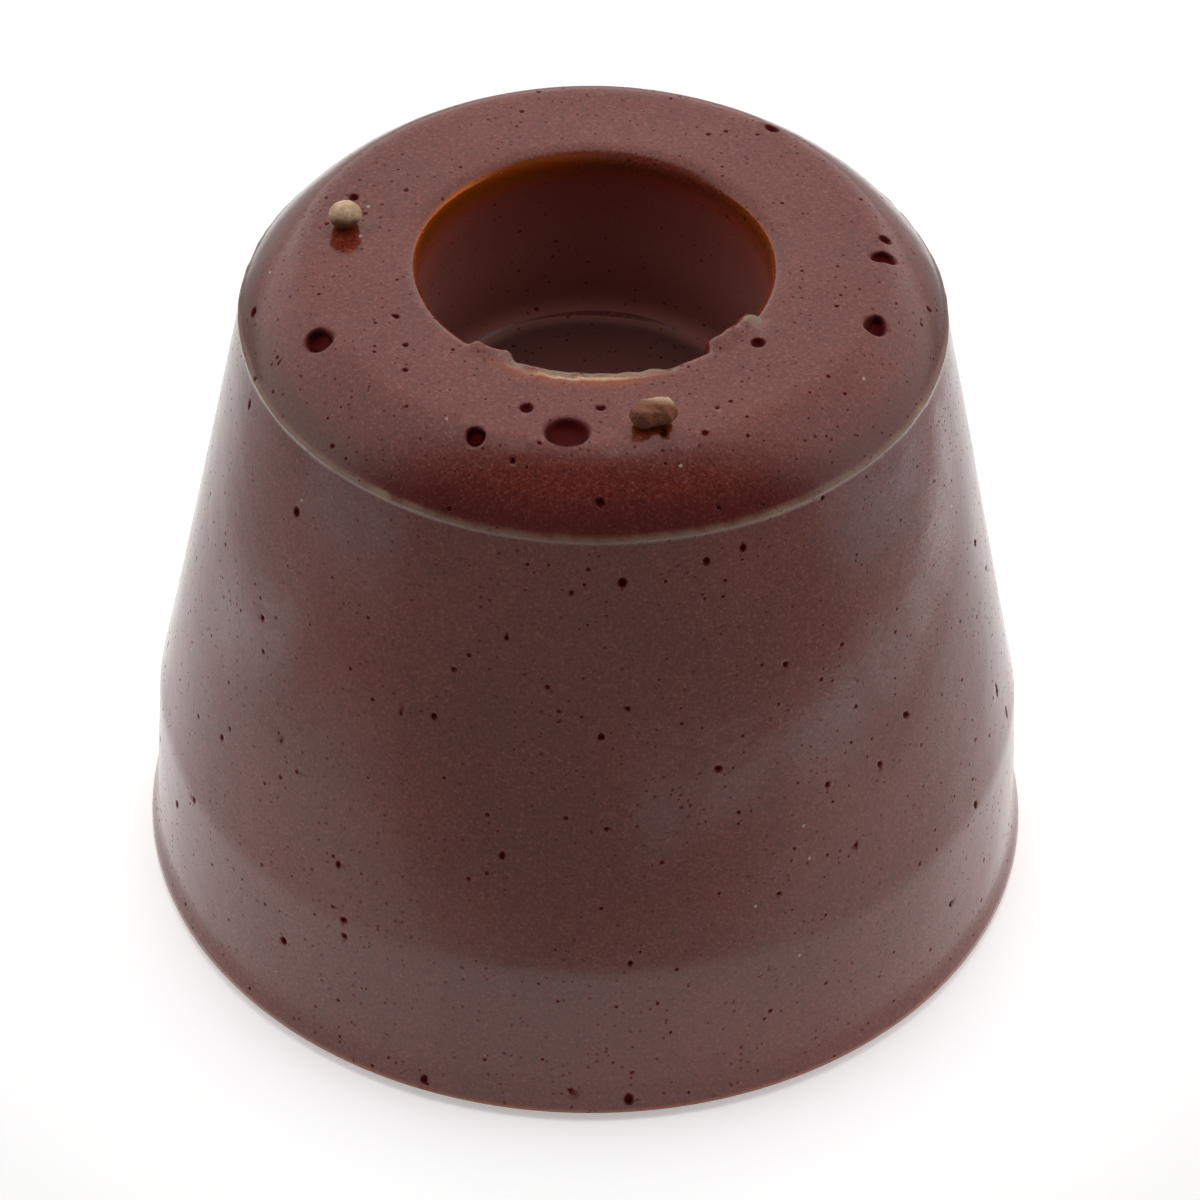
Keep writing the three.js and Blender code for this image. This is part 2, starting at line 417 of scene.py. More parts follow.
def brown_glaze():
    """Thick iron-brown glass: black-red in depth, amber where it is thin, peppered with pinholes.
    Its colour also holds painted light: glows at the lip, highlights, and shade in its hollows.
    """
    f = Finish("brown_glaze", Roughness=0.1, IOR=1.55)
    broad = f.noise(f.place, 0.16, 3.0)
    fine = f.noise(f.place, 3.2, 4.0, 0.65)
    colour = f.mix(broad.ramp(0.3, 0.7), (0.100, 0.0110, 0.0050), (0.126, 0.0150, 0.0070))
    colour = f.mix(fine.ramp(0.35, 0.75) * 0.36, colour, (0.160, 0.0330, 0.0200))
    grain = f.noise(f.place, 7.5, 3.0, 0.7)
    colour = f.mix(grain.ramp(0.51, 0.70) * 0.80, colour, (0.215, 0.0600, 0.0400))
    colour = f.mix(grain.ramp(0.49, 0.30) * 0.85, colour, (0.050, 0.0050, 0.0035))
    away, chance = f.cells(f.place, 0.55)
    speck = (away - chance.ramp(0.6, 0.8) * 0.035).ramp(0.012, 0.0)
    colour = f.mix(speck * 0.6, colour, (0.42, 0.34, 0.29))
    height = f.node("ShaderNodeSeparateXYZ", None, {0: f.place}, out="Z")
    # A darker band just above the ridge, all round the crown.
    ridge = HEIGHT - CROWN_DROP
    ridge_band = height.ramp(ridge, ridge + 0.2) * height.ramp(ridge + 1.7, ridge + 0.5)
    colour = f.mix(ridge_band * 0.55, colour, RIDGE_BAND_BROWN)
    # Pinholes and bubbles: their dark red is painted shade of the holes, and the metallic share keeps the
    # sheen off them.
    crowd = 0.5 + f.noise(f.place, 0.22, 2.0)
    away, chance = f.cells(f.place, 2.9)
    pinhole = (away - chance * 0.19 * crowd).ramp(0.05, 0.0) * 0.7
    away, chance = f.cells(f.place, 1.3)
    bubble = (away - chance * 0.12 * crowd).ramp(0.03, 0.0)
    holes = pinhole.most(bubble)
    colour = f.mix(holes, colour, PINHOLE_SHADE_RED)
    # Pits: their darker red is partly glaze pooled in them and partly painted shade of a deeper hollow; the
    # metallic share keeps their sheen off.
    pit = f.attribute("pit")
    colour = f.mix(pit, colour, PIT_SHADE_RED)
    deep = f.attribute("deep")
    # The recess walls' colour is painted light and shade: redder near the lip, a greyer painted reflection
    # halfway down, and painted shade that is darkest at the floor.
    recess_shade_stops = (
        (0.0, (0.230, 0.026, 0.010)),
        (0.5, (0.300, 0.100, 0.078)),
        (0.92, (0.066, 0.014, 0.010)),
    )
    inside = f.node("ShaderNodeValToRGB", {"stops": recess_shade_stops}, {0: deep})
    colour = f.mix(deep.ramp(0.0, 0.08), colour, inside)
    # Amber: partly thin glaze at edges and the foot, partly painted glow through the lip and below its
    # front, and painted highlight on the ridge.
    thin = f.attribute("thin")
    colour = f.mix(thin, colour, AMBER_BREAK_AND_GLOW)
    # Pale: worn glaze at the chip and notch, and a painted highlight along the ridge.
    bare = f.attribute("bare")
    colour = f.mix(bare, colour, PALE_WEAR_AND_HIGHLIGHT)
    # Painted highlight along the front of the lip.
    wet = f.attribute("wet")
    colour = f.mix(wet, colour, LIP_HIGHLIGHT_COLOUR)
    f.set("Base Color", colour)
    matt = f.noise(f.place, 0.7, 3.0).ramp(0.3, 0.8)
    roughness = 0.085 + 0.07 * matt + 0.5 * bare + 0.45 * pit + 0.45 * holes
    f.set("Roughness", roughness + 0.6 * deep.ramp(0.0, 0.2))
    f.set("Metallic", HOLE_SHADE_METALLIC * holes.most(pit).most(thin * AMBER_DEPTH))
    peel = f.noise(f.place, 0.55, 2.0) * 0.55 + grain * 0.13
    f.relief(peel - holes * 0.20, 0.05)
    return f.material


def bisque():
    """Unglazed stoneware-grey porcelain, dusty and speckled, toasted a little where it is bare."""
    f = Finish("bisque_porcelain", IOR=1.5)
    grain = f.noise(f.place, 7.0, 4.0, 0.7)
    cloud = f.noise(f.place, 0.35, 3.0)
    colour = f.mix(cloud.ramp(0.3, 0.7), (0.50, 0.42, 0.33), (0.62, 0.54, 0.44))
    colour = f.mix(grain.ramp(0.52, 0.72) * 0.5, colour, (0.36, 0.27, 0.19))
    speck, _ = f.cells(f.place, 2.6)
    colour = f.mix(speck.ramp(0.16, 0.10) * 0.6, colour, (0.13, 0.08, 0.05))
    f.set("Base Color", colour)
    f.set("Roughness", 0.78 + 0.15 * grain)
    f.relief(grain * 0.6 + cloud * 0.4, 0.06)
    return f.material


def galvanised():
    """Zinc-coated iron: a pale spangle under a dull film."""
    f = Finish("galvanised_zinc")
    _, tone = f.cells(f.place, 0.9)
    film = f.noise(f.place, 1.4, 5.0, 0.65)
    colour = f.mix(tone, (0.40, 0.42, 0.44), (0.56, 0.58, 0.60))
    colour = f.mix(film.ramp(0.55, 0.8) * 0.5, colour, (0.66, 0.66, 0.64))
    f.set("Base Color", colour)
    f.set("Roughness", 0.32 + 0.2 * tone + 0.25 * film)
    f.set("Metallic", 1 - 0.45 * film.ramp(0.6, 0.85))
    f.relief(film * 0.7 + tone * 0.3, 0.03)
    return f.material


def cement():
    """Neat grey cement with fine sand in it."""
    f = Finish("grey_cement")
    cloud = f.noise(f.place, 0.8, 4.0)
    sand, shade = f.cells(f.place, 3.2)
    colour = f.mix(cloud.ramp(0.3, 0.7), (0.27, 0.26, 0.24), (0.40, 0.39, 0.36))
    colour = f.mix(sand.ramp(0.30, 0.18) * shade, colour, (0.55, 0.50, 0.42))
    f.set("Base Color", colour)
    f.set("Roughness", 0.82 + 0.12 * cloud)
    f.relief(sand.ramp(0.45, 0.1) * 0.5 + cloud * 0.5, 0.08)
    return f.material


def cork():
    """Pressed cork: brown granules with dark seams between them."""
    f = Finish("pressed_cork")
    edge = {"feature": "DISTANCE_TO_EDGE"}
    seam = f.node("ShaderNodeTexVoronoi", edge, {"Vector": f.place, "Scale": 1.3})
    _, shade = f.cells(f.place, 1.3)
    fleck = f.noise(f.place, 6.0, 4.0)
    colour = f.mix(shade, (0.30, 0.155, 0.070), (0.48, 0.28, 0.14))
    colour = f.mix(seam.ramp(0.07, 0.01), colour, (0.12, 0.055, 0.025))
    colour = f.mix(fleck.ramp(0.6, 0.8) * 0.5, colour, (0.16, 0.075, 0.035))
    f.set("Base Color", colour)
    f.set("Roughness", 0.8 + 0.15 * fleck)
    f.relief(seam.ramp(0.0, 0.12) * 0.7 + fleck * 0.3, 0.1)
    return f.material


def bitumen():
    """Brushed-on bitumen: black and half shiny, with dust in its hollows."""
    f = Finish("black_bitumen", IOR=1.5)
    lump = f.noise(f.place, 1.1, 3.0)
    dust = f.noise(f.place, 6.0, 5.0, 0.7)
    colour = f.mix(dust.ramp(0.55, 0.8) * 0.6, (0.010, 0.009, 0.008), (0.075, 0.066, 0.055))
    f.set("Base Color", colour)
    f.set("Roughness", 0.28 + 0.45 * dust.ramp(0.45, 0.75))
    f.relief(lump * 0.8 + dust * 0.2, 0.12)
    return f.material


def kiln_grit():
    """A crumb of fired clay: beige, rough and speckled, darker where the glaze has wetted its foot and with
    painted shade on its front.
    """
    f = Finish("kiln_grit")
    grain = f.noise(f.place, 6.0, 5.0, 0.7)
    patch = f.noise(f.place, 1.6, 2.0)
    colour = f.mix(patch.ramp(0.35, 0.7), (0.40, 0.25, 0.15), (0.56, 0.40, 0.27))
    colour = f.mix(grain.ramp(0.5, 0.75) * 0.55, colour, (0.20, 0.10, 0.055))
    f.set("Base Color", f.mix(f.attribute("wetted"), colour, (0.16, 0.045, 0.018)))
    f.set("Roughness", 0.55 + 0.35 * grain)
    f.relief(grain, 0.07)
    return f.material


# ---- The glaze ----------------------------------------------------------------------------------------

# Burst bubbles in the top land and crown: angle, radius from the axis, and half length, half width and
# turn of each, with the turn measured from the way round the axis.
TOP_PITS = (
    (-95, 10.9, 0.98, 0.92, 0),
    (-154, 12.0, 0.74, 0.60, 40),
    (-19, 11.8, 0.62, 0.55, -20),
    (2, 11.6, 0.62, 0.40, 90),
    (8, 11.8, 0.34, 0.30, 90),
    (-112, 11.9, 0.42, 0.48, 0),
    (-39, 8.3, 0.34, 0.33, 0),
    (-105, 9.8, 0.31, 0.32, 0),
    (-88, 9.4, 0.24, 0.20, 0),
    (159, 10.5, 0.26, 0.24, 0),
    (51, 11.5, 0.40, 0.24, 0),
    (-153, 8.7, 0.17, 0.15, 0),
    (-142, 9.3, 0.15, 0.15, 0),
    (-135, 10.3, 0.15, 0.14, 0),
    (-68, 11.6, 0.18, 0.16, 0),
    (-104, 12.5, 0.14, 0.14, 0),
)

# Burst bubbles in the side: angle, height, half length and half width. Their length stands upright.
SIDE_PITS = (
    (-85, 25.7, 0.24, 0.21),
    (-72, 26.2, 0.20, 0.17),
    (-66, 26.4, 0.20, 0.16),
    (-141, 24.5, 0.28, 0.20),
    (-160, 26.3, 0.30, 0.14),
    (-112, 18.8, 0.18, 0.16),
    (-88, 18.9, 0.18, 0.16),
    (-149, 11.9, 0.18, 0.15),
    (-101, 13.2, 0.22, 0.16),
    (-124, 10.4, 0.20, 0.14),
    (-132, 4.9, 0.24, 0.20),
    (-122, 7.1, 0.18, 0.16),
    (-46, 14.1, 0.18, 0.15),
    (-27, 8.1, 0.24, 0.15),
    (-34, 4.3, 0.20, 0.14),
    (-84, 8.4, 0.15, 0.14),
    (-84, 1.1, 0.28, 0.22),
    (-110, 1.0, 0.22, 0.18),
    (-14, 10.9, 0.45, 0.13),
    (-11, 8.9, 0.40, 0.13),
)

STRAY_PITS = 70  # small ones, scattered all over
DEEPEST_PIT = 0.34  # a little less than the glaze's thickness
WIDE_PIT = 0.4  # from this half width on, a pit has a broad floor

# Where the glaze gathered or broke round the recess's lip and the ridge, and where light is painted on
# them. Each starts with two angles.
LIP_LUMPS = ((-50, -29, 2.5, 0.42), (-131, -117, 3.0, 0.32), (-120, -68, 9, 0.30))  # soft edge, height
LIP_CHIP = (-119, -66, 12.0)
LIP_NOTCH = (-34, -28.5, 2.0)
CHIP_DEPTH = 0.20
NOTCH_DEPTH = 0.12
# The amber round the lip is thin glaze all round, and on these spans painted glow of light through the rim,
# strongest at the back left.
PAINTED_LIP_GLOWS = ((96, 184, 34, 0.85), (-30, 36, 26, 0.34))  # soft edge, share
LEAST_AMBER = 0.12
# Spans of the ridge with painted highlights, where it reflects the tent.
RIDGE_GLINTS = ((-126, -123), (-61, -58.5), (-26, -24))
RIDGE_HEIGHT = 0.09
SWELL = 0.018
WETTED_RISE = 0.10  # where glaze climbs the grit's foot
SEAM_TURN = 90  # the grid's seam is at the back, and no pit is near it
COLUMNS = 300
INNER_ROWS = 26  # on the hidden face of the glaze


def pit_table(line, foot):
    """Every pit as its distance along the glazed line, angle, half length, half width and turn."""
    found = []
    for angle, radius, half_long, half_wide, tilt in TOP_PITS:
        height = HEIGHT - 0.5 * max(radius - LAND_RADIUS, 0)
        found.append((line.nearest(radius, height), angle, half_long, half_wide, tilt))
    side = (line.along > line.nearest(HEAD_RADIUS, HEIGHT - CROWN_DROP)) & (line.along < foot)
    for angle, height, half_long, half_wide in SIDE_PITS:
        at = line.along[side][np.argmin(np.abs(line.points[side, 1] - height))]
        found.append((at, angle, half_long, half_wide, 90))
    rng = np.random.default_rng(41)
    lip = line.nearest(RECESS_RADIUS + LIP_RADIUS, HEIGHT)
    wanted = len(found) + STRAY_PITS
    while len(found) < wanted:
        at, angle = rng.uniform(lip + 0.4, foot - 1.0), rng.uniform(0, 360)
        size = 0.09 + 0.12 * rng.random() ** 3
        if rng.random() < line.at([at])[0][0] / BASE_RADIUS and abs(angle - SEAM_TURN) > 5:
            found.append((at, angle, size * rng.uniform(1, 1.5), size, rng.uniform(0, 180)))
    return found


def pit_reach(line, pit, places):
    """How far places lie from a pit's middle, where 1 is its rim."""
    at, angle, half_long, half_wide, tilt = pit
    turn = math.radians(angle)
    middle = spun(np.array([turn]), line.at([at]))[0]
    normal = spun(np.array([turn]), line.normal([at]))[0]
    way_round = np.array([-math.sin(turn), math.cos(turn), 0.0])
    way_along = np.cross(normal, way_round)
    c, s = math.cos(math.radians(tilt)), math.sin(math.radians(tilt))
    away = places - middle
    u, v = away @ way_round, away @ way_along
    flat = np.hypot((u * c + v * s) / half_long, (v * c - u * s) / half_wide)
    return np.maximum(flat, np.abs(away @ normal) / 1.5)


def smooth(value, low, high):
    t = np.clip((value - low) / (high - low), 0, 1)
    return t * t * (3 - 2 * t)


def span(turn, start, end, soft):
    """1 between two angles in degrees, falling to 0 over a soft edge at each side."""
    half = (end - start) / 2
    off = np.abs((np.degrees(turn) - (start + end) / 2 + 180) % 360 - 180)
    return smooth(off, half + soft / 2, half - soft / 2)


def glaze_marks(line, turn, along, places, pits):
    """How far each place on the glaze is pushed out, and the share from 0 to 1 of each of its marks."""
    lip = line.nearest(RECESS_RADIUS, HEIGHT - LIP_RADIUS) + 0.5 * LIP_RADIUS
    ridge = line.nearest(HEAD_RADIUS, HEIGHT - CROWN_DROP)
    foot = line.nearest(BASE_RADIUS, GLAZE_FOOT + GLAZE / 2)
    outside = smooth(along, 0, 3) * smooth(along, foot, foot - 2)
    crumble = waves(places, 0.9, 5)
    lift = SWELL * (waves(places, 7.0, 3) - 1) * outside

    on_ridge = np.exp(-(((along - ridge + 0.02 * crumble) / 0.13) ** 2)) * (0.85 + 0.12 * crumble)
    lift += RIDGE_HEIGHT * on_ridge
    beyond = along - lip
    edge = 0.12 * crumble
    lump = sum(span(turn, start, end, soft) * height for start, end, soft, height in LIP_LUMPS)
    lift += lump * smooth(beyond + edge, -2.2, -0.5) * smooth(beyond + edge, 0.7, 0.1)
    chip = span(turn, *LIP_CHIP) * smooth(np.abs(beyond - 0.05 + edge), 0.62, 0.45)
    notch = span(turn, *LIP_NOTCH) * smooth(np.abs(beyond - 0.5 + edge), 0.5, 0.3)
    lift -= CHIP_DEPTH * chip + NOTCH_DEPTH * notch
    lift += 0.05 * span(turn, -113, -74, 10) * np.exp(-(((beyond - 0.62 + edge) / 0.08) ** 2))

    grit = np.zeros(len(places))
    for node in ("grit_bead", "grit_crumb"):
        low, high = (np.array(corner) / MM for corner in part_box(node))
        away = np.hypot(*(((places - (low + high) / 2) / ((high - low) / 2))[:, :2]).T)
        grit = np.maximum(grit, smooth(away, 1.35, 0.8) * (places[:, 2] > HEIGHT - 1))
    lift += WETTED_RISE * grit

    pit = np.zeros(len(places))
    for mark in pits:
        reach = pit_reach(line, mark, places)
        pit = np.maximum(pit, smooth(reach, 1.08, 0.80))
        inner = 0.15 if mark[3] < WIDE_PIT else 0.5
        lift = np.minimum(lift, lift - min(DEEPEST_PIT, 0.6 * mark[3]) * smooth(reach, 1.05, inner))

    # glow: amber of thin glaze all round the lip, and painted glow of light through it on the listed spans.
    glow = LEAST_AMBER + sum(share * span(turn, start, end, soft) for start, end, soft, share in PAINTED_LIP_GLOWS)
    rim = smooth(beyond, -1.2, -0.35) * smooth(beyond, 0.26, 0.0)
    # Painted glow below the front of the lip, where light shows through the glaze.
    lip_front_glow = span(turn, -117, -73, 20) * smooth(beyond, 1.4, 0.6) * smooth(beyond, 0.4, 0.6)
    lip_front_glow *= 0.8 + 0.15 * crumble
    ridge_glint = sum(span(turn, start, end, 1.5) for start, end in RIDGE_GLINTS)
    thin = glow * rim + 0.42 * lip_front_glow + (0.35 * ridge_glint + 0.05) * on_ridge + 0.16 * grit
    thin = np.maximum(thin, 0.6 * smooth(along, foot - 0.25, foot + 0.25))
    # bare: pale worn glaze at the chip and the notch, and a painted highlight along the ridge, brightest at
    # the glints.
    bare = 0.45 * chip * smooth(crumble, -1.4, 0.2) + 0.35 * notch + (0.55 + 0.45 * ridge_glint) * on_ridge
    # Painted highlight: a bright line along the front of the lip, on the small raised line there.
    wet = span(turn, -106, -80, 14) * np.exp(-(((beyond - 0.64) / 0.06) ** 2))
    wet *= 0.95 + 0.05 * crumble
    # deep: how far down the recess a place lies. The recess's painted shade follows it.
    deep = np.interp(-beyond, (0.3, 4.5, 8.0, 8.6), (0.0, 0.5, 0.6, 1.0))
    marks = {"pit": pit, "thin": thin, "bare": bare, "wet": 0.7 * wet, "deep": deep}
    return lift, {name: np.clip(share, 0, 1) for name, share in marks.items()}


def glaze_coat():
    """The glass skin: one closed shell, finely divided round its pits, with its marks as attributes."""
    outer, inner = glazed_line(), inset(GLAZE)
    edge = arc((BASE_RADIUS - GLAZE / 2, GLAZE_FOOT + GLAZE / 2), GLAZE / 2, 0, -180)
    inner = inner[inner[:, 1] > GLAZE_FOOT + GLAZE]
    line = Section(np.vstack([outer, edge, inner[::-1]]), soften=0.04)
    foot = line.nearest(BASE_RADIUS - GLAZE, GLAZE_FOOT + GLAZE / 2)
    lip = line.nearest(RECESS_RADIUS, HEIGHT - LIP_RADIUS) + 0.5 * LIP_RADIUS
    ridge = line.nearest(HEAD_RADIUS, HEIGHT - CROWN_DROP)
    rows = line.rows(0.07, 0.42, [lip, ridge, foot])
    rows = np.r_[rows[rows < foot], np.linspace(foot, line.length, INNER_ROWS)]
    pits = pit_table(line, foot)

    bm = grid(COLUMNS, len(rows))
    turn, along = unrolled([face.calc_center_median() for face in bm.faces], rows, COLUMNS, SEAM_TURN)
    middles = spun(turn, line.at(along))
    near = np.zeros(len(middles), bool)
    for pit in pits:
        near |= (pit_reach(line, pit, middles) < 1.3 + 0.12 / pit[3]) & (along < foot)
    bm.faces.ensure_lookup_table()
    chosen = {e for i in np.flatnonzero(near) for e in bm.faces[i].edges}
    bmesh.ops.subdivide_edges(bm, edges=list(chosen), cuts=4, use_grid_fill=True)
    bmesh.ops.triangulate(bm, faces=[f for f in bm.faces if len(f.verts) > 4])

    turn, along = unrolled([v.co for v in bm.verts], rows, COLUMNS, SEAM_TURN)
    places = spun(turn, line.at(along))
    lift, marks = glaze_marks(line, turn, along, places, pits)
    lift *= along < foot
    places += spun(turn, line.normal(along)) * lift[:, None]
    for name, values in marks.items():
        layer = bm.verts.layers.float.new(name)
        for vert, value in zip(bm.verts, values * (along < foot)):
            vert[layer] = value
    for vert, spot in zip(bm.verts, places * MM):
        vert.co = spot
    return skin("brown_glaze_coat", bm, brown_glaze())


# ---- The body and its fittings ------------------------------------------------------------------------


def porcelain_body():
    """The fired clay under the glaze, with its bare foot and the pin hole."""
    outer = inset(GLAZE + FIT_GAP)
    outer = outer[outer[:, 1] > 2 * GLAZE_FOOT]
    web = CUSHION_TOP + FIT_GAP
    hole = HOLE_RADIUS + FIT_GAP
    line = Section([
        *outer,
        (BODY_RADIUS - 0.1, 0.12),
        (BODY_RADIUS - 0.3, 0),
        (hole + HOLE_CHAMFER, 0),
        (hole, HOLE_CHAMFER),
        (hole, web),
        (0, web),
    ], soften=0.06)
    sole = line.nearest(BODY_RADIUS - 2, 0)

    def ground(places, turn, along):
        """The foot is ground flat on wet sand: shallow pulls in its face and a slightly ragged edge."""
        bare = smooth(along, sole - 3, sole - 1) * smooth(places[:, 2], 3, 1.5)
        return -0.03 * bare * (1 + np.tanh(waves(places, 1.6, 11))) * (places[:, 2] < 1.2)

    return turned_piece("bisque_body", line, bisque(), 256, 0.14, 0.6, [sole], ground)


def thimble_blank():
    """The thimble before its thread is cut, with its bore at the size of the thread's roots."""
    end = THIMBLE_TOP - THIMBLE_END
    line = Section([
        (0, THIMBLE_TOP),
        *ribbed(0, THIMBLE_MOUTH + 0.25, THIMBLE_TOP)[::-1],
        (THIMBLE_RADIUS - 0.2, THIMBLE_MOUTH),
        (THREAD_RADIUS + 0.25, THIMBLE_MOUTH),
        (THREAD_RADIUS, THIMBLE_MOUTH + 0.3),
        (THREAD_RADIUS, end - 0.4),
        (THREAD_RADIUS - 0.6, end),
        (0, end),
    ], soften=0.05)
    return turned_piece("zinc_thimble", line, galvanised(), 128, 0.12, 0.14)


class Recipe(Graph):
    """A Geometry Nodes tree with named sizes in metres, used once and left as a plain mesh."""

    def __init__(self, name, **sizes):
        super().__init__(bpy.data.node_groups.new(name, "GeometryNodeTree"))
        self.values, sockets = sizes, self.tree.interface
        sockets.new_socket("Geometry", in_out="OUTPUT", socket_type="NodeSocketGeometry")
        sockets.new_socket("Geometry", in_out="INPUT", socket_type="NodeSocketGeometry")
        self.keys = {
            size: sockets.new_socket(size, in_out="INPUT", socket_type="NodeSocketFloat").identifier
            for size in sizes
        }
        start = self.tree.nodes.new("NodeGroupInput")
        self.start = Wire(self, start.outputs[0])
        self.size = {size: Wire(self, start.outputs[i + 1]) for i, size in enumerate(sizes)}

    def make(self, piece, shape, material):
        """Runs the tree on a piece, and leaves the piece with the plain mesh that comes out."""
        shape = self.node("GeometryNodeRealizeInstances", None, {"Geometry": shape})
        shape = self.node("GeometryNodeSetMaterial", None, {"Geometry": shape, "Material": material})
        end = self.tree.nodes.new("NodeGroupOutput")
        self.tree.links.new(shape.socket, end.inputs[0])
        modifier = piece.modifiers.new("recipe", "NODES")
        modifier.node_group = self.tree
        for size, value in self.values.items():
            modifier[self.keys[size]] = value
        bpy.context.view_layer.update()
        evaluated = piece.evaluated_get(bpy.context.evaluated_depsgraph_get())
        mesh = bpy.data.meshes.new_from_object(evaluated)
        piece.modifiers.clear()
        piece.data = mesh
        return piece


def pin_thimble():
    """The threaded cup: its right-handed thread is a helix of pushes inwards on the blank's bore."""
    piece = thimble_blank()
    end = (THIMBLE_TOP - THIMBLE_END - 0.5 * THREAD_PITCH) * MM
    r = Recipe(
        "pin_thread",
        Pitch=THREAD_PITCH * MM,
        Depth=THREAD_DEPTH * MM,
        Bore=(THREAD_RADIUS + 0.1) * MM,
        Mouth=(THIMBLE_MOUTH + 0.05) * MM,
        End=end,
    )
    at = r.node("GeometryNodeInputPosition")
    x, y, z = (r.node("ShaderNodeSeparateXYZ", None, {0: at}, out=i) for i in range(3))
    turn = r.node("ShaderNodeMath", {"operation": "ARCTAN2"}, {0: y, 1: x}) / (2 * math.pi)
    climb = z / r.size["Pitch"] - turn
    swing = climb.math("ABSOLUTE", 2 * climb.math("FRACT", climb) - 1)
    flank = swing.ramp(0.12, 0.88)
    outwards = r.node("ShaderNodeVectorMath", {"operation": "NORMALIZE"}, {
        0: r.node("ShaderNodeCombineXYZ", None, {0: x, 1: y, 2: 0.0}),
    })
    radius = r.node("ShaderNodeMath", {"operation": "SQRT"}, {0: x * x + y * y})
    in_bore = (radius < r.size["Bore"]) * (z < r.size["End"])
    runout = (z - r.size["Mouth"]) / (0.6 * MM)
    push = in_bore * runout.least(1.0).most(0.0) * flank * r.size["Depth"] * -1.0
    offset = r.node("ShaderNodeVectorMath", {"operation": "SCALE"}, {0: outwards, "Scale": push})
    cut = r.node("GeometryNodeSetPosition", None, {"Geometry": r.start, "Offset": offset})
    return r.make(piece, cut, piece.data.materials[0])


def closed_ring(inside, outside, bottom, top):
    """The section of a ring, from the middle of its top face out, down and back up its inner wall."""
    middle = (inside[-1][0] + outside) / 2
    return [(middle, top), (outside, top), (outside, bottom), *inside, (middle, top)]


def cement_sleeve():
    """The cement between the thimble's ribs and the pin hole, with the faces it dried to."""
    inside = ribbed(FIT_GAP, CEMENT_FOOT, CEMENT_TOP)
    line = Section(closed_ring(inside, HOLE_RADIUS, CEMENT_FOOT, CEMENT_TOP), soften=0.04)

    def dried(places, turn, along):
        return -0.02 * (1 + np.tanh(waves(places, 1.2, 17)))

    return turned_piece("cement_sleeve_fine", line, cement(), 144, 0.2, 0.3, work=dried)


def bitumen_seal():
    """The seal at the mouth of the pin hole, brushed on hot: its face is wavy and its edges draw up."""
    inside = [(THIMBLE_RADIUS + FIT_GAP, SEAL_FACE), (THIMBLE_RADIUS + FIT_GAP, SEAL_TOP)]
    line = Section(closed_ring(inside, HOLE_RADIUS, SEAL_FACE, SEAL_TOP), soften=0.06)

    def brushed(places, turn, along):
        face = smooth(places[:, 2], SEAL_FACE + 0.3, SEAL_FACE + 0.1)
        swell = 0.05 * (1 + np.tanh(waves(places, 1.8, 23)))
        return -face * (swell + 0.012 * (1 + waves(places, 0.5, 29) / 3))

    return turned_piece("bitumen_seal_fine", line, bitumen(), 192, 0.1, 0.14, work=brushed)


def cushion_disc():
    """The pressed cork between the thimble and the end of the pin hole, with crumbly edges."""
    line = Section([
        (0, CUSHION_TOP),
        (CUSHION_RADIUS, CUSHION_TOP),
        (CUSHION_RADIUS, CUSHION_FACE),
        (0, CUSHION_FACE),
    ], soften=0.05)

    def crumbly(places, turn, along):
        return -0.03 * (1 + np.tanh(waves(places, 0.9, 31)))

    return turned_piece("cork_cushion", line, cork(), 160, 0.18, 0.24, work=crumbly)


# ---- Kiln grit ----------------------------------------------------------------------------------------


def lump(name, node, material, roughness, seed, squareness, dark_level):
    """A crumb of grit that fills its node's box. It is darker below a level that rises towards its back:
    glaze wetted its foot, and its front carries painted shade.
    """
    low, high = (np.array(corner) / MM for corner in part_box(node))
    bm = bmesh.new()
    bmesh.ops.create_icosphere(bm, subdivisions=5, radius=1)
    ball = np.array([v.co for v in bm.verts])
    ball /= np.linalg.norm(ball, axis=1)[:, None] ** (1 - squareness)
    ball /= np.maximum(np.abs(ball).max(axis=1)[:, None], 1e-6) ** squareness
    half = (high - low) / 2
    real = ball * half
    grow = 1 + roughness * waves(real, 1.1, seed) + 0.30 * roughness * waves(real, 0.35, seed + 1)
    grow += 0.12 * roughness * waves(real, 0.16, seed + 2)
    shape = ball * grow[:, None]
    shape = (shape - shape.min(0)) / (shape.max(0) - shape.min(0))
    spots = low + shape * (high - low)
    wetted = bm.verts.layers.float.new("wetted")
    # The dark share is half height, as glaze wetting its foot, and half place from front to back, as
    # painted shade on the front.
    level = 0.5 * shape[:, 2] + 0.5 * shape[:, 1] + 0.04 * (grow - 1) / roughness
    for vert, spot, share in zip(bm.verts, spots, smooth(level, dark_level + 0.12, dark_level - 0.12)):
        vert.co = spot * MM
        vert[wetted] = share
    return skin(name, bm, material)


SAND_GRAINS = 260
SAND_GRAIN = 0.075
SAND_BAND = 2 * math.pi * 8.45 * 0.81  # the area that the grains are on, in square millimetres


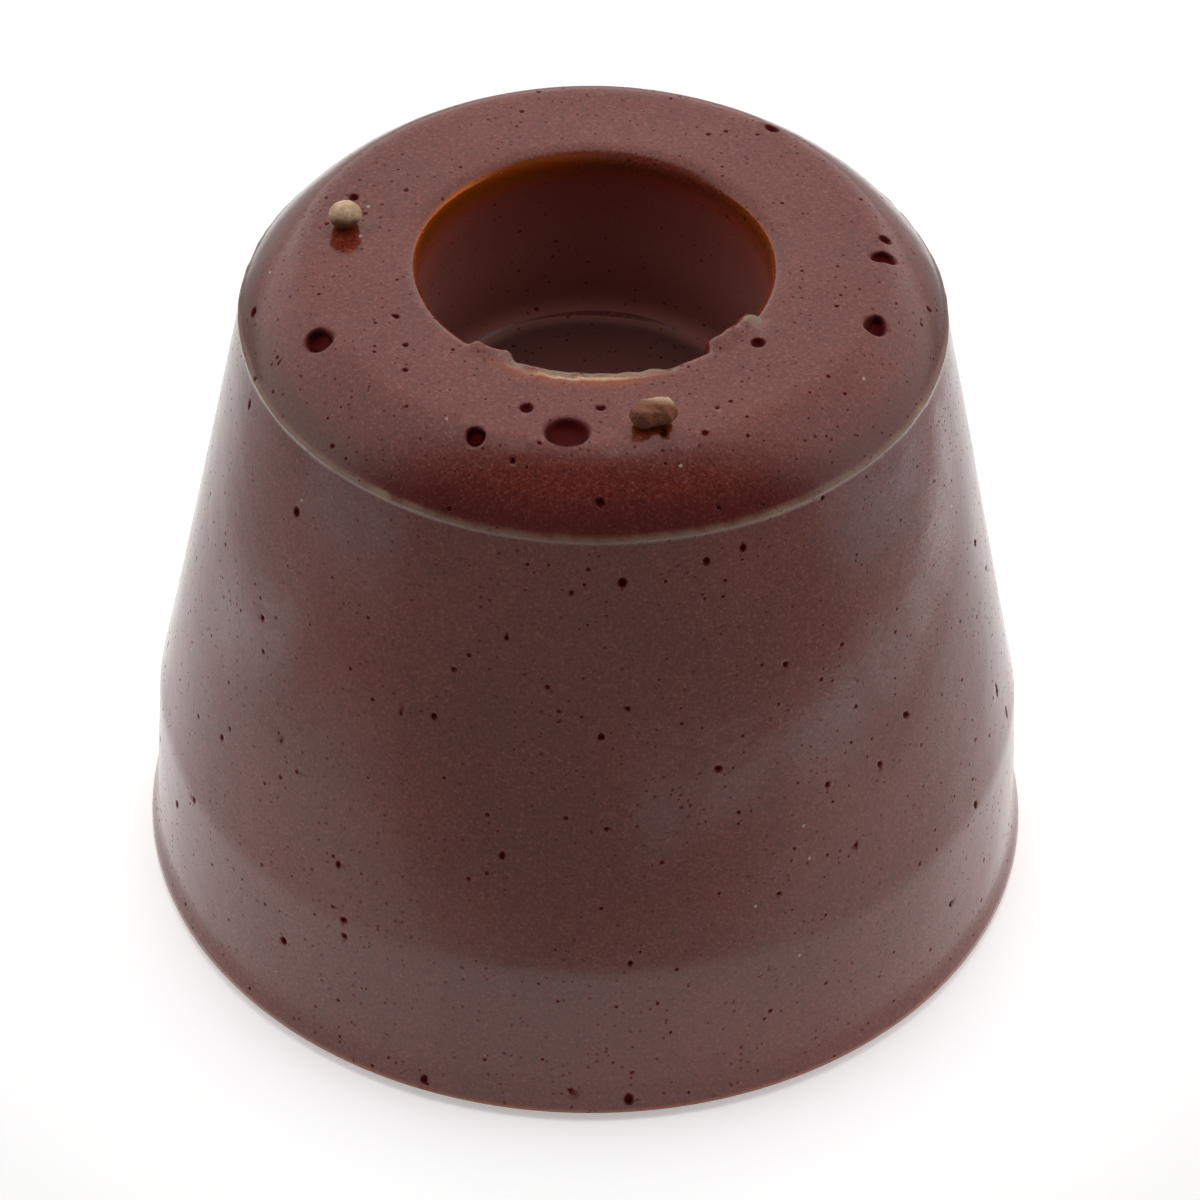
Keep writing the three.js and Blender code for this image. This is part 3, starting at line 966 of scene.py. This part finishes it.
def sanded_mouth():
    """Placing sand that fused to the chamfer of the pin hole: grains set on it by Geometry Nodes."""
    hole = HOLE_RADIUS + FIT_GAP
    bm = bmesh.new()
    ring = [
        [bm.verts.new((r * math.cos(a) * MM, r * math.sin(a) * MM, z * MM)) for r, z in (
            (hole + 0.08, HOLE_CHAMFER - 0.08), (hole + HOLE_CHAMFER - 0.25, 0.25))]
        for a in (2 * math.pi * i / 96 for i in range(96))
    ]
    for (top, foot), (next_top, next_foot) in zip(ring, ring[1:] + ring[:1]):
        bm.faces.new((top, next_top, next_foot, foot))
    material = bisque_sand()
    piece = skin("fused_sand", bm, material)
    r = Recipe("grains_on_a_band", Grain=SAND_GRAIN * MM, Grains=SAND_GRAINS / (SAND_BAND * MM * MM))
    random = {"data_type": "FLOAT_VECTOR"}
    grain = r.node("GeometryNodeMeshIcoSphere", None, {"Radius": r.size["Grain"], "Subdivisions": 1})
    spread = {"Mesh": r.start, "Density": r.size["Grains"], "Seed": 7}
    points = r.node("GeometryNodeDistributePointsOnFaces", None, spread)
    spin = r.node("FunctionNodeRandomValue", random, {0: (0, 0, 0), 1: (6.28, 6.28, 6.28), "Seed": 3})
    size = r.node("FunctionNodeRandomValue", random, {0: (0.5, 0.5, 0.4), 1: (1.5, 1.2, 1.1), "Seed": 4})
    laid = {"Points": points, "Instance": grain, "Rotation": spin, "Scale": size}
    placed = r.node("GeometryNodeInstanceOnPoints", None, laid)
    return r.make(piece, placed, material)


def bisque_sand():
    """Quartz grains, from clear grey to rust."""
    f = Finish("quartz_sand", IOR=1.54)
    _, tone = f.cells(f.place, 3.0)
    colour = f.mix(tone, (0.42, 0.34, 0.25), (0.68, 0.62, 0.52))
    f.set("Base Color", f.mix(tone.ramp(0.85, 0.95), colour, (0.30, 0.12, 0.05)))
    f.set("Roughness", 0.35 + 0.4 * tone)
    return f.material


# ---- Studio -------------------------------------------------------------------------------------------


CAMERA_RISE = 41.0
CAMERA_DISTANCE = 209.0
CAMERA_AIM_HEIGHT = 15.2
CAMERA_LEAN = 0.95
CAMERA_DIP = -0.70
CAMERA_SWING = -0.115
CAMERA_LENS = 149.5
FLOOR_SIZE = 1200
FLOOR_NEAR = 0.90
# Painted shade: the floor's colour away from the object, in front and at the sides.
FLOOR_FAR_SHADE = 0.42


def floor():
    """A pale floor that runs well past the camera's view, painted darker away from the object, in front and
    at the sides, and glowing near its foot to lift the contact shadow.
    """
    f = Finish("pale_floor", Roughness=0.9)
    gap = {"operation": "DISTANCE"}
    # Painted shade: the floor darkens away from the object, in front and to the sides, standing in for the
    # dark room round the tent.
    away = f.node("ShaderNodeVectorMath", gap, {0: f.place, 1: (0, 18, 0)}, out="Value")
    x, y = (f.node("ShaderNodeSeparateXYZ", None, {0: f.place}, out=i) for i in (0, 1))
    shaded_sides = x.math("ABSOLUTE", x).ramp(36, 50) * 0.7
    edge = away.ramp(52, 74).most(y.ramp(-27, -42)).most(shaded_sides)
    f.set("Base Color", f.mix(edge, (FLOOR_NEAR,) * 3, (FLOOR_FAR_SHADE,) * 3))
    # Painted light: the floor glows faintly everywhere and more near the foot, to lift the contact shadow.
    centre = f.node("ShaderNodeVectorMath", {"operation": "LENGTH"}, {0: f.place}, out="Value")
    f.set("Emission Color", f.mix(centre.ramp(36, 20), (0.05, 0.05, 0.05), (0.32, 0.32, 0.32)))
    f.shader.inputs["Emission Strength"].default_value = 1.0
    f.shader.inputs["Specular IOR Level"].default_value = 0.0
    bm = bmesh.new()
    bmesh.ops.create_circle(bm, cap_ends=True, segments=96, radius=FLOOR_SIZE * MM)
    piece = skin("floor", bm, f.material)


# Large soft lights, in metres and watts: each one's name, spot, aim, size and power.
SOFTBOXES = (
    ("overhead", (0, 0.15, 0.58), (0, 0, 0), (0.5, 0.5), 1.55),
    ("right_fill", (0.5, -0.02, 0.07), (0, 0, 0.01), (0.3, 0.14), 0.55),
    ("left_fill", (-0.5, -0.02, 0.07), (0, 0, 0.01), (0.3, 0.14), 0.30),
)


def softbox(name, spot, aim, size, power, colour=(1, 1, 1)):
    """A rectangular light at a spot, turned towards a point."""
    light = bpy.data.lights.new(name, "AREA")
    light.shape = "RECTANGLE"
    light.size, light.size_y = size
    light.energy = power
    light.color = colour
    lamp = bpy.data.objects.new(name, light)
    lamp.location = spot
    lamp.rotation_euler = (Vector(aim) - Vector(spot)).to_track_quat("-Z", "Y").to_euler()
    bpy.context.scene.collection.objects.link(lamp)
    return lamp


# Low reflectors round the object, just outside the front view, in millimetres: the two ends of each,
# its height, how bright it is beside the tent, and its tint.
REFLECTORS = (
    ((8, -46, 4), (17, -41, 5), 4.0, 0.55, (0.82, 1.00, 1.08)),
    ((17, -41, 5), (30, -33, 5), 3.4, 1.00, (0.85, 1.00, 1.05)),
    ((30, -33, 5), (39, -15, 5), 2.8, 1.40, (0.88, 1.00, 1.03)),
    ((39, -15, 5), (40, -5, 5), 1.9, 2.00, (0.92, 1.00, 1.02)),
    ((40, -5, 5), (40, 2, 5), 1.3, 3.00, (0.95, 1.00, 1.01)),
    ((40, 2, 5), (37, 14, 5), 1.0, 4.00, (1.00, 1.00, 1.00)),
    ((37, 14, 5), (36, 20, 6), 0.9, 4.60, (1.00, 1.00, 1.00)),
    ((-52, -6, 8), (-48, -40, 8), 2.2, 1.50, (0.75, 1.00, 1.12)),
    ((53, -26, 8), (44, 10, 8), 2.4, 1.50, (0.75, 1.00, 1.12)),
    ((-32, 6, 5), (-42, -13, 5), 6.5, 0.50, (0.92, 1.00, 1.04)),
)
REFLECTOR_FADE = 0.3  # how much of a strip's length fades out at each end
REFLECTOR_AIM = 18


def reflector(start, end, height, radiance, tint):
    """A glowing strip that faces the object, fades at its edges and shows only in the gloss."""
    start, end = Vector(start) * MM, Vector(end) * MM
    middle, along = (start + end) / 2, (end - start).normalized()
    facing = Vector((0, 0, REFLECTOR_AIM * MM)) - middle
    back = -(facing - facing.dot(along) * along).normalized()
    length = (end - start).length * (1 + REFLECTOR_FADE)
    lamp = softbox("reflector", middle, (0, 0, 0), (length, height * MM), 0, tint)
    lamp.data.energy = radiance * math.pi * lamp.data.size * lamp.data.size_y
    lamp.data.use_nodes = True
    g = Graph(lamp.data.node_tree)
    across = g.node("ShaderNodeNewGeometry", out="Parametric")
    u, v = (g.node("ShaderNodeSeparateXYZ", None, {0: across}, out=i) for i in (0, 1))
    glow = u.ramp(0, REFLECTOR_FADE) * u.ramp(1, 1 - REFLECTOR_FADE) * v.ramp(0, 0.5) * v.ramp(1, 0.5)
    g.tree.links.new(glow.socket, g.tree.nodes["Emission"].inputs["Strength"])
    turned = Matrix((along, back.cross(along), back)).transposed().to_4x4()
    lamp.matrix_world = Matrix.Translation(middle) @ turned
    lamp.visible_camera = False
    lamp.visible_diffuse = False


def surroundings():
    """A white tent, open and dark on the camera's side, where the room shows through the opening."""
    world = bpy.data.worlds.new("white_tent")
    world.use_nodes = True
    bpy.context.scene.world = world
    g = Graph(world.node_tree)
    way = g.node("ShaderNodeTexCoord", out="Generated")
    forwards = g.node("ShaderNodeSeparateXYZ", None, {0: way}, out="Y")
    light = g.mix(forwards.ramp(-0.04, -0.52), (1.04, 1.02, 1.0), (0.072, 0.090, 0.115))
    back = world.node_tree.nodes["Background"]
    world.node_tree.links.new(light.socket, back.inputs["Color"])
    back.inputs["Strength"].default_value = 1.0


def camera():
    """A long lens above the front. It looks a little past the middle of the body, and leans slightly."""
    lens = bpy.data.cameras.new("studio_camera")
    lens.lens = CAMERA_LENS
    lens.sensor_width = 36
    lens.clip_start = 0.01
    eye = bpy.data.objects.new("studio_camera", lens)
    bpy.context.scene.collection.objects.link(eye)
    rise = math.radians(CAMERA_RISE)
    back = Vector((0, -math.cos(rise), math.sin(rise)))
    spot = Vector((0, 0, CAMERA_AIM_HEIGHT)) * MM + back * CAMERA_DISTANCE * MM
    turns = ((90 - CAMERA_RISE, "X"), (CAMERA_LEAN, "Z"), (CAMERA_DIP, "X"), (CAMERA_SWING, "Y"))
    matrix = Matrix.Translation(spot)
    for angle, axis in turns:
        matrix = matrix @ Matrix.Rotation(math.radians(angle), 4, axis)
    eye.matrix_world = matrix
    bpy.context.scene.camera = eye


def studio():
    floor()
    surroundings()
    for box in SOFTBOXES:
        softbox(*box).visible_glossy = False
    for strip in REFLECTORS:
        reflector(*strip)
    camera()
    bpy.context.scene.view_settings.view_transform = "Standard"


# ---- The object ---------------------------------------------------------------------------------------

place(glaze_coat(), "glaze_coat", "brown_glaze")
place(porcelain_body(), "porcelain_body", "porcelain")
place(pin_thimble(), "pin_thimble", "zinc")
place(cement_sleeve(), "cement_sleeve", "cement")
place(bitumen_seal(), "bitumen_seal", "bitumen")
place(cushion_disc(), "cushion_disc", "cork")
grit = kiln_grit()
place(lump("grit_bead_fine", "grit_bead", grit, 0.04, 51, 0.0, 0.38), "grit_bead", "kiln_grit")
place(lump("grit_crumb_fine", "grit_crumb", grit, 0.16, 62, 0.3, 0.79), "grit_crumb", "kiln_grit")
place(sanded_mouth(), None, "porcelain")
studio()
